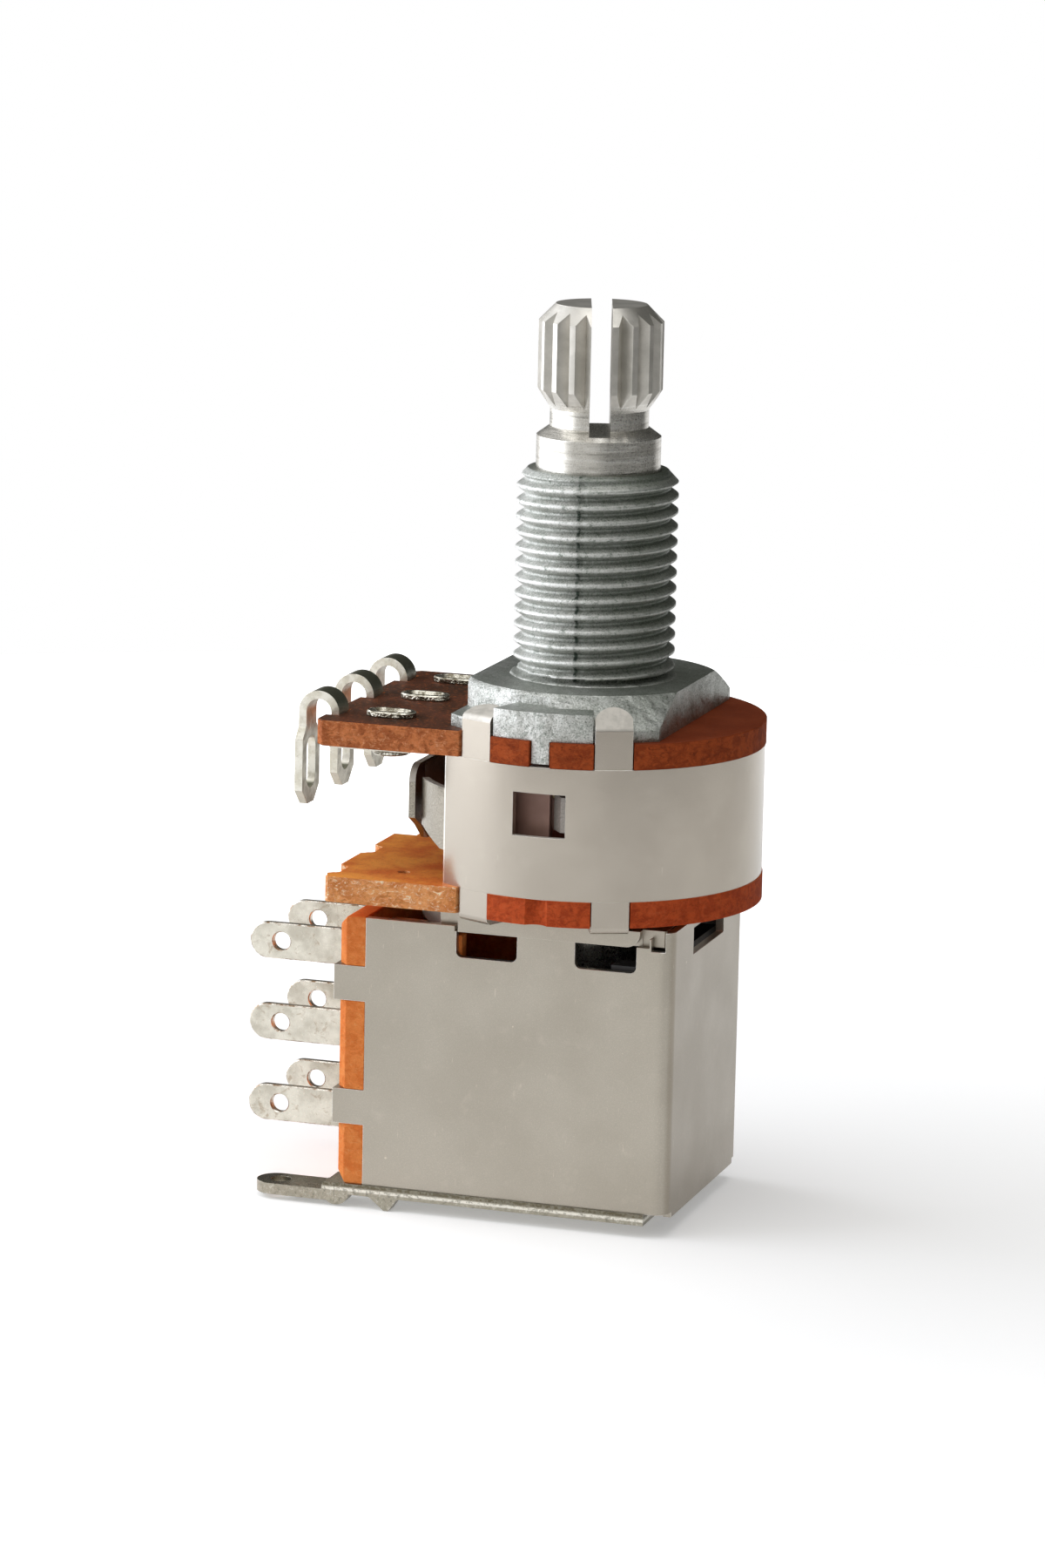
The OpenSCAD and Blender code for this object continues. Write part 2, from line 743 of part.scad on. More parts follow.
// Flat lug through the board: solder eye outside, taller contact blade inside
module switch_lug(row, level) {
    z0 = lug_z[level];
    r = blade_h / 2;
    inner_h = travel - 0.8;
    color("lightgray") translate([0, row * row_y + blade_t / 2, z0]) rotate([90, 0, 0])
        linear_extrude(blade_t) difference() {
            union() {
                translate([-blade_tip + r, -r]) square([blade_tip - r - frame_l + 0.2, blade_h]);
                translate([-blade_tip + r, 0]) circle(r = r);
                translate([-frame_l, -inner_h / 2]) square([2, inner_h]);
            }
            translate([-blade_tip + blade_eye, 0]) circle(r = blade_eye_r);
        }
}

module switch_lug_1() { switch_lug(-1, 0); }
module switch_lug_2() { switch_lug(-1, 1); }
module switch_lug_3() { switch_lug(-1, 2); }
module switch_lug_4() { switch_lug(1, 0); }
module switch_lug_5() { switch_lug(1, 1); }
module switch_lug_6() { switch_lug(1, 2); }

module slider() {
    z0 = z_floor + 0.08;
    color([0.09, 0.09, 0.1]) difference() {
        union() {
            block([-slider_back, -slider_y, z0], [-slider_waist, slider_y, web_top]);
            block([-slider_waist - 0.1, -slider_wide, z0], [post_x - 0.2, slider_wide, web_top]);
            block([post_x - 0.3, -post_y + 0.15, z0], [slider_nose, post_y - 0.15, web_top]);
        }
        translate([0, 0, web_top - web_t - 1]) cylinder(r = journal_r + play, h = web_t + 2);
        translate([0, 0, z0 - 1]) cylinder(r = pocket_r, h = web_top - web_t - z0 + 1);
        for (z1 = [spring_z, spring_z - travel]) {
            translate([slider_nose + 0.1, -10, z1]) rotate([-90, 0, 0]) cylinder(r = groove_cut, h = 20);
        }
        for (side = [-1, 1]) {
            block([-slider_back - 2 * contact_t, side * row_y - 1, contact_z - contact_half - 0.1],
                [-slider_back + 2 * contact_t, side * row_y + 1, contact_z + contact_half + 0.1]);
        }
    }
}

// Channel-shaped contact that straddles two neighbouring lugs of one row
module contact(row) {
    z0 = contact_z;
    gap = blade_t / 2 + 0.06;
    color("gold") translate([0, row * row_y, 0]) {
        block([-slider_back + contact_t, -gap - contact_t, z0 - contact_half],
            [-slider_back + 2 * contact_t, gap + contact_t, z0 + contact_half]);
        for (side = [-1, 1]) {
            block([-frame_l + 0.35, side * gap, z0 - contact_half],
                [-slider_back + 1.5 * contact_t, side * (gap + contact_t), z0 + contact_half]);
        }
    }
}

module front_contact() { contact(-1); }
module rear_contact() { contact(1); }

// Moulded guide at the closed side of the switch: a web with two posts
module guide_frame() {
    y_out = half_d - sheet;
    color([0.13, 0.13, 0.14]) union() {
        block([frame_r - sheet - web_wall, -y_out + 0.3, z_floor], [frame_r - sheet, y_out - 0.3, guide_top]);
        for (side = [-1, 1]) {
            block([post_x, side * post_y, z_floor], [frame_r - sheet - 0.3, side * y_out, guide_top]);
        }
    }
}

// Bowed leaf that clicks into the two grooves of the slider
module detent_spring() {
    x0 = frame_r - sheet - web_wall;
    x1 = slider_nose + 0.06;
    color("gainsboro") translate([0, spring_w / 2, 0]) rotate([90, 0, 0]) linear_extrude(spring_w)
        polygon([[x0, guide_top - 1], [x0 - leaf_t, guide_top - 1], [x0 - leaf_t, spring_z + 3],
            [x1 + 0.3, spring_z + 0.35], [x1, spring_z], [x1 + 0.3, spring_z - 0.35],
            [x0 - leaf_t, spring_z - 3.6], [x0 - leaf_t, z_floor + 1.2], [x0, z_floor + 1.2],
            [x0, spring_z - 3.6], [x1 + 0.52, spring_z - 0.3], [x1 + 0.22, spring_z],
            [x1 + 0.52, spring_z + 0.3], [x0, spring_z + 3]]);
}

// Bottom sheet with the earth lug and four clinched bumps
module base_plate() {
    lug_mid = -half_d + 0.85;
    drop = 0.38;
    color("darkgray") difference() {
        union() {
            block([-board_l, -half_d - base_over, z_bottom], [base_end, half_d + base_over, z_floor]);
            block([-board_l - 0.5, lug_mid - earth_r, z_bottom - drop],
                [-board_l + eps, lug_mid + earth_r, z_floor]);
            translate([0, lug_mid, z_bottom - drop]) linear_extrude(base_t) {
                translate([-earth_x + 0.05, -earth_r]) square([earth_x - 0.05 - board_l, 2 * earth_r]);
                translate([-earth_x, 0]) circle(r = earth_r);
            }
            for (y_end = [half_d + base_over, bump_t - half_d - base_over]) {
                translate([-bump_x, y_end, z_bottom + 0.16]) rotate([90, 0, 0])
                    cylinder(r = 0.72, h = bump_t);
                translate([-bump_x, y_end, z_bottom]) rotate([90, 0, 0]) linear_extrude(bump_t)
                    polygon([[1.7, 0.02], [2.5, -0.62], [2.75, -0.62], [3.2, 0.02]]);
            }
        }
        translate([-earth_x + 0.2, lug_mid, z_bottom - 2]) cylinder(r = earth_hole, h = 4);
        block([-12, -20, z_floor], [-9, 20, z_floor + 3]);
    }
}

bushing();
shaft();
shaft_clip();
upper_wafer();
carbon_track();
silver_print();
terminal_1();
terminal_2();
terminal_3();
terminal_rivets();
rotor();
wiper();
can();
lower_wafer();
seat_plate();
switch_frame();
terminal_board();
switch_lug_1();
switch_lug_2();
switch_lug_3();
switch_lug_4();
switch_lug_5();
switch_lug_6();
slider();
front_contact();
rear_contact();
guide_frame();
detent_spring();
base_plate();
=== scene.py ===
import json
import math

import bmesh
import bpy
from mathutils import Matrix, Vector
from mathutils import noise as mnoise


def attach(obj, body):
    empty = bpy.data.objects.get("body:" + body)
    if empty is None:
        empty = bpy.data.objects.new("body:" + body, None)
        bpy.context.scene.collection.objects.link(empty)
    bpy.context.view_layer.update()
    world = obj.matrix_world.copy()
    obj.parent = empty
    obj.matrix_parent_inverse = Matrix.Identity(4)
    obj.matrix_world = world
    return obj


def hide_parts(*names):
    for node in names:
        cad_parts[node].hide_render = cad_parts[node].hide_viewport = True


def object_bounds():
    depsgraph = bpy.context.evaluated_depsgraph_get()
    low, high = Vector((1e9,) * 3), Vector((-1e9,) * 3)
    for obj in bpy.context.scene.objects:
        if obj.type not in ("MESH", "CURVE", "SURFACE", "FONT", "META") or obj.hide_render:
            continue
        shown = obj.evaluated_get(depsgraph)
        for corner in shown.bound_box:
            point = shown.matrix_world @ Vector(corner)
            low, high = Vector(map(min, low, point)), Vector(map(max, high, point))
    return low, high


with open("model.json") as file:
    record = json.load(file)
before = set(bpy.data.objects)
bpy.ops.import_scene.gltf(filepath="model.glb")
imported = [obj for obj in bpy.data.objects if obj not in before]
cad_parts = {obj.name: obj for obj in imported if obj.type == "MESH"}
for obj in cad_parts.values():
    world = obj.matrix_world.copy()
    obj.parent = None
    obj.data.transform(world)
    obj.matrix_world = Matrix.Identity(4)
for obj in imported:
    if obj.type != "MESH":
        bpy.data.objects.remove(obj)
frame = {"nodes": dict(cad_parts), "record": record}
cad_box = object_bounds()
nodes = frame["nodes"]
MM = 0.001

# Sizes and places in millimetres, from the shaft's axis and the seat face of the bushing's flange
PITCH = 0.75
CREST_R = 3.92
ROOT_R = 3.52
BORE_R = 3.03
TOP = 10.0             # mouth of the bushing
KNURL_Z = 13.5         # in the knurl's lower bevel
CAN_INNER_R = 8.12
CAN_DULL_Z = -4.4      # the can's inside is dull below this
CAN_MOUTH_X = -5.29    # edge of the can's open side, where the ear starts
TONGUE_X = -3.0        # the wafers' discs turn into their tongues
BUMP_DROP = 0.62       # reach of the clinched bumps below the base plate
BASE_T = 0.55
BASE_TOP = cad_box[0].z / MM + BUMP_DROP + BASE_T

# Seams of the casting's mould, in degrees round the axis
STAIN_TURN = -87.0
GROOVE_TURNS = (96.0, 276.0)


# Node helpers
class Nodes:
    """Short forms for the nodes of one tree, which starts empty."""

    def __init__(self, tree):
        self.tree = tree
        tree.nodes.clear()

    def put(self, socket, value):
        if isinstance(value, bpy.types.NodeSocket):
            self.tree.links.new(value, socket)
        elif isinstance(value, tuple) and len(value) == 3 and socket.type == "RGBA":
            socket.default_value = (*value, 1.0)
        else:
            socket.default_value = value

    def node(self, kind, inputs=(), out=0, **props):
        n = self.tree.nodes.new(kind)
        for k, v in props.items():
            setattr(n, k, v)
        for k, v in dict(inputs).items():
            self.put(n.inputs[k], v)
        return n.outputs[out]

    def surface(self, shader, kind="ShaderNodeOutputMaterial"):
        """Joins the shader to the tree's output node."""
        self.put(self.tree.nodes.new(kind).inputs["Surface"], shader)

    def axis(self, vector, i):
        return self.node("ShaderNodeSeparateXYZ", {0: vector}, out=i)

    def math(self, op, a, b=0.0, c=0.0):
        return self.node("ShaderNodeMath", {0: a, 1: b, 2: c}, operation=op)

    def span(self, value, lo, hi, to_lo=0.0, to_hi=1.0):
        """Smooth step of value from lo..hi to to_lo..to_hi."""
        return self.node("ShaderNodeMapRange", {"Value": value, "From Min": lo, "From Max": hi,
                                                "To Min": to_lo, "To Max": to_hi},
                         interpolation_type="SMOOTHSTEP")

    def mix(self, fac, a, b):
        return self.node("ShaderNodeMix", {"Factor": fac, 6: a, 7: b}, out=2, data_type="RGBA")

    def ray(self, kind):
        return self.node("ShaderNodeLightPath", out=kind)

    def seen_directly(self):
        """1 for rays from the camera, or off metal or glass."""
        value = self.ray("Is Camera Ray")
        for kind in ("Is Glossy Ray", "Is Transmission Ray"):
            value = self.math("MAXIMUM", value, self.ray(kind))
        return value


class Shade(Nodes):
    """A Principled material built from small procedural steps. Lengths are in millimetres."""

    def __init__(self, name):
        self.mat = bpy.data.materials.new(name)
        self.mat.use_nodes = True
        super().__init__(self.mat.node_tree)

    def pos(self, scale=(1, 1, 1), rot=(0, 0, 0), move=(0, 0, 0)):
        """Object position in millimetres, then moved, turned and scaled."""
        place = self.node("ShaderNodeTexCoord", out="Object")
        mm = self.node("ShaderNodeVectorMath", {0: place, 1: (1000, 1000, 1000)}, operation="MULTIPLY")
        if scale == (1, 1, 1) and rot == (0, 0, 0) and move == (0, 0, 0):
            return mm
        return self.node("ShaderNodeMapping",
                         {"Vector": mm, "Scale": scale, "Rotation": rot, "Location": move},
                         vector_type="POINT")

    def normal(self, i):
        return self.axis(self.node("ShaderNodeNewGeometry", out="Normal"), i)

    def radius(self, p):
        """Distance from the shaft's axis."""
        x, y = self.axis(p, 0), self.axis(p, 1)
        return self.math("SQRT", self.math("ADD", self.math("MULTIPLY", x, x), self.math("MULTIPLY", y, y)))

    def noise(self, vector, scale, detail, rough, distort=0.0):
        return self.node("ShaderNodeTexNoise", {"Vector": vector, "Scale": scale, "Detail": detail,
                                                "Roughness": rough, "Distortion": distort})

    def bump(self, height, strength, depth):
        """The normal over height. depth is in millimetres."""
        return self.node("ShaderNodeBump", {"Height": height, "Strength": strength, "Distance": depth * MM})

    def finish(self, color, rough, metal, normal, **more):
        inputs = {"Base Color": color, "Roughness": rough, "Metallic": metal, "Normal": normal}
        inputs.update({k.replace("_", " "): v for k, v in more.items()})
        self.surface(self.node("ShaderNodeBsdfPrincipled", inputs))
        return self.mat


def times(color, k):
    """The colour k times as light, at most white."""
    return tuple(min(1.0, c * k) for c in color)


# Materials. Axes 0, 1 and 2 are the part's own x, y and z
def zinc():
    """Die-cast zinc: cool gray, cloudy, with dark greenish stains, a cast skin and the mould's seam, and
    painted highlight and shade on the thread and flange.
    """
    s = Shade("cast_zinc")
    p = s.pos()
    x, y, z = (s.axis(p, i) for i in range(3))
    radius = s.radius(p)
    thread = s.span(z, 0.05, 0.3)
    cloud = s.noise(p, 0.45, 4, 0.62, 0.4)
    grain = s.noise(p, 12.0, 3, 0.8)
    pits = s.noise(p, 3.3, 5, 0.75)
    base = s.mix(s.span(cloud, 0.34, 0.66), (0.465, 0.475, 0.44), (0.69, 0.695, 0.665))
    base = s.mix(s.span(pits, 0.53, 0.68, 0.0, 0.7), base, (0.13, 0.165, 0.13))
    base = s.mix(s.span(grain, 0.50, 0.66, 0.0, 0.65), base, (0.93, 0.93, 0.91))
    base = s.mix(s.span(grain, 0.48, 0.36, 0.0, 0.7), base, (0.12, 0.14, 0.115))
    # painted highlight with glints on the crests, and painted shade in the roots, stronger to the right
    crest = s.math("MULTIPLY", s.span(radius, CREST_R - 0.16, CREST_R - 0.04),
                   s.span(pits, 0.62, 0.46, 0.0, 0.6))
    base = s.mix(s.math("MULTIPLY", crest, thread), base, (0.82, 0.82, 0.80))
    low = s.math("MULTIPLY", s.span(radius, ROOT_R + 0.14, ROOT_R + 0.02), thread)
    base = s.mix(s.math("MULTIPLY", low, s.span(x, -1.8, 0.5, 0.2, 0.6)), base, (0.10, 0.115, 0.095))
    # painted shade: the upper faces, the right side and the thread's right half are darker
    base = s.mix(s.span(s.normal(2), 0.75, 0.95, 0.0, 0.42), base, (0.09, 0.115, 0.085))
    base = s.mix(s.span(x, 0.8, 3.6, 0.0, 0.32), base, (0.10, 0.13, 0.085))
    base = s.mix(s.math("MULTIPLY", thread, s.span(x, 0.16, 0.24, 0.0, 0.2)), base, (0.10, 0.13, 0.09))
    # ticks of stain along the seam, strongest in the roots
    off = s.math("ABSOLUTE", s.math("SUBTRACT", s.math("ARCTAN2", y, x), math.radians(STAIN_TURN)))
    seam = s.math("MULTIPLY", s.span(off, 0.034, 0.012), thread)
    seam = s.math("MULTIPLY", seam, s.span(radius, CREST_R - 0.08, CREST_R - 0.20, 0.15, 1.0))
    tick = s.math("MULTIPLY", seam, s.span(pits, 0.44, 0.54, 0.3, 0.95))
    base = s.mix(tick, base, (0.045, 0.065, 0.05))
    skin = s.math("ADD", s.math("MULTIPLY", grain, 0.5), s.math("MULTIPLY", cloud, 0.5))
    h = s.math("ADD", s.math("MULTIPLY", grain, 0.7), s.math("MULTIPLY", pits, 0.9))
    lumps = s.math("MULTIPLY", s.noise(p, 1.1, 2, 0.5), s.math("SUBTRACT", 1.0, thread))
    h = s.math("ADD", h, s.math("MULTIPLY", lumps, 5.0))
    return s.finish(base, s.span(skin, 0.3, 0.7, 0.52, 0.36), 0.88, s.bump(h, 0.7, 0.06))


def turned():
    """Turned light metal: fine rings round the axis below the knurl, faint stains."""
    s = Shade("turned_metal")
    p = s.pos()
    x, y, z = (s.axis(p, i) for i in range(3))
    turn = s.math("MULTIPLY", s.math("ARCTAN2", y, x), 0.6)
    groove = s.node("ShaderNodeCombineXYZ", {0: turn, 1: 0.0, 2: s.math("MULTIPLY", z, 3.4)})
    ring = s.noise(groove, 1.0, 3, 0.75)
    cloud = s.noise(p, 0.9, 3, 0.6)
    grain = s.noise(p, 9.0, 3, 0.7)
    plain = s.span(z, KNURL_Z, KNURL_Z - 0.3, 0.04, 1.0)
    base = s.mix(s.span(cloud, 0.3, 0.7), (0.60, 0.58, 0.53), (0.74, 0.715, 0.66))
    base = s.mix(s.span(grain, 0.5, 0.8, 0.0, 0.12), base, (0.38, 0.36, 0.33))
    base = s.mix(s.math("MULTIPLY", plain, s.span(ring, 0.52, 0.66, 0.0, 0.6)), base, (0.88, 0.87, 0.83))
    base = s.mix(s.math("MULTIPLY", plain, s.span(ring, 0.48, 0.36, 0.0, 0.6)), base, (0.26, 0.25, 0.22))
    matt = s.math("SUBTRACT", 0.14, s.math("MULTIPLY", plain, 0.14))
    rough = s.math("ADD", s.span(grain, 0.3, 0.7, 0.24, 0.34), matt)
    h = s.math("ADD", s.math("MULTIPLY", ring, 0.8), s.math("MULTIPLY", cloud, 0.3))
    return s.finish(base, rough, 0.92, s.bump(h, 0.3, 0.04))


def plate_grime_and_painted_lines(s, p, base, dirt):
    """Dirt, and on the cut edge only a painted shadow line under the box with a painted highlight band below
    it.
    """
    grime = s.noise(p, 4.5, 4, 0.8)
    z = s.axis(p, 2)
    base = s.mix(s.span(grime, 0.52, 0.64, 0.0, dirt), base, (0.07, 0.068, 0.05))
    base = s.mix(s.span(grime, 0.44, 0.34, 0.0, dirt), base, (0.86, 0.83, 0.75))
    cut = s.span(s.math("ABSOLUTE", s.normal(2)), 0.8, 0.5, 0.0, 0.85)
    cut = s.math("MULTIPLY", cut, s.span(grime, 0.58, 0.48, 0.3, 1.0))
    # painted highlight: a bright band on the cut edge
    bright = s.math("MULTIPLY", s.span(z, BASE_TOP - 0.40, BASE_TOP - 0.34),
                    s.span(z, BASE_TOP - 0.20, BASE_TOP - 0.26))
    base = s.mix(s.math("MULTIPLY", cut, bright), base, (0.90, 0.87, 0.78))
    # painted shadow: a dark line on the cut edge, just under the box
    line = s.span(z, BASE_TOP - 0.22, BASE_TOP - 0.14)
    return s.mix(s.math("MULTIPLY", cut, line), base, (0.09, 0.075, 0.04))


def can_finish_and_painted_light(s, p, base, fine, patch, inner):
    """The can's ear darkened as painted shade, its bright mouth edge, dull inside, leaning tabs painted pale
    as a painted highlight, and how metallic it is.
    """
    x, y, z = (s.axis(p, i) for i in range(3))
    # painted shade: the ear beside the mouth is darker
    speckle = s.span(fine, 0.35, 0.65)
    ear = s.span(x, CAN_MOUTH_X, CAN_MOUTH_X - 0.03)
    base = s.mix(ear, base, s.mix(speckle, (0.23, 0.205, 0.165), (0.42, 0.385, 0.32)))
    beside = s.math("ABSOLUTE", s.math("SUBTRACT", x, CAN_MOUTH_X + 0.03))
    rim = s.math("MULTIPLY", s.span(beside, 0.05, 0.02), s.span(y, 0.0, -0.5))
    base = s.mix(s.math("MULTIPLY", rim, 0.8), base, (0.97, 0.95, 0.89))
    within = s.math("MULTIPLY", s.span(s.radius(p), inner, inner - 0.12),
                    s.span(z, CAN_DULL_Z, CAN_DULL_Z - 0.2))
    base = s.mix(within, base, s.mix(speckle, (0.25, 0.225, 0.20), (0.37, 0.335, 0.30)))
    # painted highlight: faces that lean up are paler and less metallic
    lean = s.span(s.normal(2), 0.03, 0.12)
    base = s.mix(lean, base, s.mix(s.span(patch, 0.4, 0.6), (0.60, 0.57, 0.51), (0.74, 0.70, 0.63)))
    return base, s.span(s.math("MAXIMUM", within, lean), 0.0, 1.0, 0.93, 0.15)


def sheet(name, light, dark, rough, speck=0.5, wear=0.08, grainy=0.4, dirt=0.0, inner=0.0, shade=0.0):
    """Plated sheet: satin skin of fine grain, faint scratches and stains, small bright specks.

    dirt is the base plate's and brings its painted edge lines, inner the can's inside radius and brings its
    painted light, and shade is painted shade on the side that faces right.
    """
    s = Shade(name)
    p = s.pos()
    cloud = s.noise(p, 0.22, 3, 0.55)
    patch = s.noise(p, 1.1, 4, 0.65)
    fine = s.noise(p, 16.0, 3, 0.7)
    base = s.mix(s.span(cloud, 0.3, 0.7), dark, light)
    base = s.mix(s.span(fine, 0.3, 0.7, 0.0, grainy), base, times(dark, 0.62))
    base = s.mix(s.span(patch, 0.55, 0.8, 0.0, 0.25), base, times(light, 1.2))
    base = s.mix(s.span(fine, 0.52, 0.66, 0.0, grainy * 0.6), base, times(light, 1.35))
    # painted shade: faces that turn to the right are darker
    if shade:
        base = s.mix(s.span(s.normal(0), 0.6, 0.9, 0.0, shade), base, (0.25, 0.205, 0.155))
    spot = s.node("ShaderNodeTexVoronoi", {"Vector": s.pos(move=(3.3, 1.7, 0.9)), "Scale": 1.0})
    small = s.math("LESS_THAN", spot, s.span(s.noise(p, 1.4, 1, 0.5), 0.5, 0.8, 0.0, 0.08))
    base = s.mix(s.math("MULTIPLY", small, speck), base, times(light, 1.7))
    if dirt:
        base = plate_grime_and_painted_lines(s, p, base, dirt)
    scratch = s.noise(s.pos(scale=(7.0, 7.0, 0.9), rot=(0.2, 0.85, 0.1)), 1.3, 2, 0.5)
    stain = s.noise(s.pos(scale=(1.0, 1.0, 1.6), rot=(0.5, 0.2, 0.9)), 2.4, 5, 0.8, 1.2)
    base = s.mix(s.span(stain, 0.62, 0.72, 0.0, 0.22), base, times(dark, 0.45))
    base = s.mix(s.span(scratch, 0.72, 0.76, 0.0, 0.25), base, times(light, 1.6))
    metal = 0.93
    # the can's finish, with painted shade on the ear and a painted highlight on the leaning tabs
    if inner:
        base, metal = can_finish_and_painted_light(s, p, base, fine, patch, inner)
    gloss = s.span(cloud, 0.3, 0.7, rough + wear * 0.5, rough - wear * 0.5)
    h = s.math("ADD", s.math("MULTIPLY", patch, 0.25), s.math("MULTIPLY", fine, 0.5))
    h = s.math("ADD", h, s.span(scratch, 0.68, 0.74, 0.0, 0.6))
    return s.finish(base, gloss, metal, s.bump(h, 0.25, 0.012))


def tinned():
    """Tin-plated lugs: ivory gray with small stains."""
    s = Shade("tinned_metal")
    p = s.pos()
    cloud = s.noise(p, 0.9, 4, 0.6)
    fine = s.noise(p, 8.0, 3, 0.7)
    tarnish = s.noise(p, 1.7, 4, 0.7, 0.8)
    base = s.mix(s.span(cloud, 0.35, 0.65), (0.60, 0.565, 0.475), (0.82, 0.785, 0.68))
    base = s.mix(s.span(fine, 0.6, 0.8, 0.0, 0.4), base, (0.36, 0.31, 0.25))
    base = s.mix(s.span(tarnish, 0.56, 0.68, 0.0, 0.5), base, (0.34, 0.24, 0.14))
    h = s.math("ADD", cloud, s.math("MULTIPLY", fine, 0.4))
    return s.finish(base, s.span(fine, 0.3, 0.7, 0.26, 0.42), 0.9, s.bump(h, 0.35, 0.02))


def looped_strip():
    """Bent terminal strip: ivory cut edges, partly a painted highlight, olive gray faces, dark tarnish over
    the outer bend.
    """
    s = Shade("loop_metal")
    p = s.pos()
    cloud = s.noise(p, 1.3, 4, 0.65)
    fine = s.noise(p, 7.0, 3, 0.7)
    base = s.mix(s.span(cloud, 0.35, 0.65), (0.33, 0.31, 0.245), (0.52, 0.495, 0.41))
    bend = s.math("MULTIPLY", s.span(s.normal(2), 0.0, 0.35), s.span(s.normal(0), -0.5, 0.1))
    base = s.mix(s.math("MULTIPLY", bend, 0.9), base, (0.13, 0.135, 0.09))
    # bare cut edges painted ivory, partly a painted highlight where they catch the light
    cut = s.span(s.math("ABSOLUTE", s.normal(1)), 0.6, 0.85)
    base = s.mix(cut, base, s.mix(s.span(cloud, 0.4, 0.6), (0.93, 0.90, 0.80), (0.76, 0.72, 0.60)))
    base = s.mix(s.span(fine, 0.60, 0.74, 0.0, 0.5), base, (0.20, 0.17, 0.12))
    return s.finish(base, s.span(cloud, 0.3, 0.7, 0.42, 0.3), 0.8, s.bump(cloud, 0.6, 0.08))


def eyelet():
    """Rolled eyelet heads: shiny, wavy, with dark and bright patches."""
    s = Shade("eyelet_metal")
    p = s.pos()
    wave = s.noise(p, 1.9, 3, 0.6, 1.0)
    fine = s.noise(p, 7.0, 3, 0.7)
    base = s.mix(s.span(wave, 0.42, 0.56), (0.16, 0.14, 0.10), (0.62, 0.59, 0.50))
    base = s.mix(s.span(fine, 0.58, 0.7, 0.0, 0.6), base, (0.10, 0.085, 0.055))
    return s.finish(base, s.span(fine, 0.3, 0.7, 0.16, 0.28), 0.92, s.bump(wave, 1.0, 0.25))


def edge_finish(name, bright, dull, metal=0.9):
    """Burred or worn edge of a sheet: bright metal broken up by dull patches. Some of these edges are partly
    a painted highlight.
    """
    s = Shade(name)
    patch = s.noise(s.pos(), 2.6, 4, 0.7)
    base = s.mix(s.span(patch, 0.42, 0.62), bright, dull)
    return s.finish(base, s.span(patch, 0.3, 0.7, 0.2, 0.4), metal, s.bump(patch, 0.4, 0.03))


def laminate(name, disc, tongue, gloss=0.5, clear=0.0, fibres=0.6, fleck=0.75):
    """Phenolic paper laminate. disc and tongue each hold colours for two faces, two edges and the fibre."""
    s = Shade(name)
    p = s.pos()
    side = s.span(s.axis(p, 0), TONGUE_X, TONGUE_X - 0.9)
    face_1, face_2, cut_1, cut_2, fibre = (s.mix(side, disc[i], tongue[i]) for i in range(5))
    face = s.span(s.math("ABSOLUTE", s.normal(2)), 0.55, 0.8)
    cloud = s.noise(p, 0.45, 4, 0.6)
    grain = s.noise(p, 6.0, 4, 0.72)
    mottle = s.noise(p, 1.7, 5, 0.72, 0.5)
    strands = s.noise(s.pos(scale=(1.0, 1.0, 1.8)), 2.3, 6, 0.82, 1.4)
    flat = s.mix(s.span(cloud, 0.32, 0.68), face_1, face_2)
    flat = s.mix(s.span(grain, 0.5, 0.72, 0.0, 0.5), flat, s.mix(0.6, face_1, (0.01, 0.008, 0.006)))
    flat = s.mix(s.math("MULTIPLY", s.span(grain, 0.46, 0.34, 0.0, 0.45), side), flat, cut_1)
    cut = s.mix(s.span(mottle, 0.40, 0.60), s.mix(0.4 * fleck, cut_1, (0.10, 0.02, 0.008)), cut_2)
    amount = s.math("ADD", 0.35, s.math("MULTIPLY", side, fibres))
    cut = s.mix(s.math("MULTIPLY", s.span(strands, 0.52, 0.66), amount), cut, fibre)
    cut = s.mix(s.span(strands, 0.47, 0.36, 0.0, fleck), cut, s.mix(0.7, cut_1, (0.03, 0.012, 0.006)))
    rough = s.node("ShaderNodeMapRange", {"Value": face, "To Min": 0.65, "To Max": gloss})
    h = s.math("MULTIPLY", strands, s.math("SUBTRACT", 1.0, face))
    h = s.math("ADD", h, s.math("MULTIPLY", grain, 0.2))
    return s.finish(s.mix(face, cut, flat), rough, 0.0, s.bump(h, 0.8, 0.10), Specular_IOR_Level=0.06,
                    Subsurface_Weight=clear, Subsurface_Scale=0.4 * MM)


def plastic(name, a, b, rough):
    s = Shade(name)
    p = s.pos()
    cloud = s.noise(p, 0.8, 3, 0.5)
    grain = s.noise(p, 11.0, 3, 0.6)
    return s.finish(s.mix(s.span(cloud, 0.3, 0.7), a, b), s.span(grain, 0.3, 0.7, rough - 0.06, rough + 0.08),
                    0.0, s.bump(grain, 0.3, 0.01))


def film(name, a, b, metal):
    s = Shade(name)
    grain = s.noise(s.pos(), 9.0, 3, 0.7)
    return s.finish(s.mix(s.span(grain, 0.35, 0.65), a, b), s.span(grain, 0.3, 0.7, 0.45, 0.6), metal,
                    s.bump(grain, 0.3, 0.01))


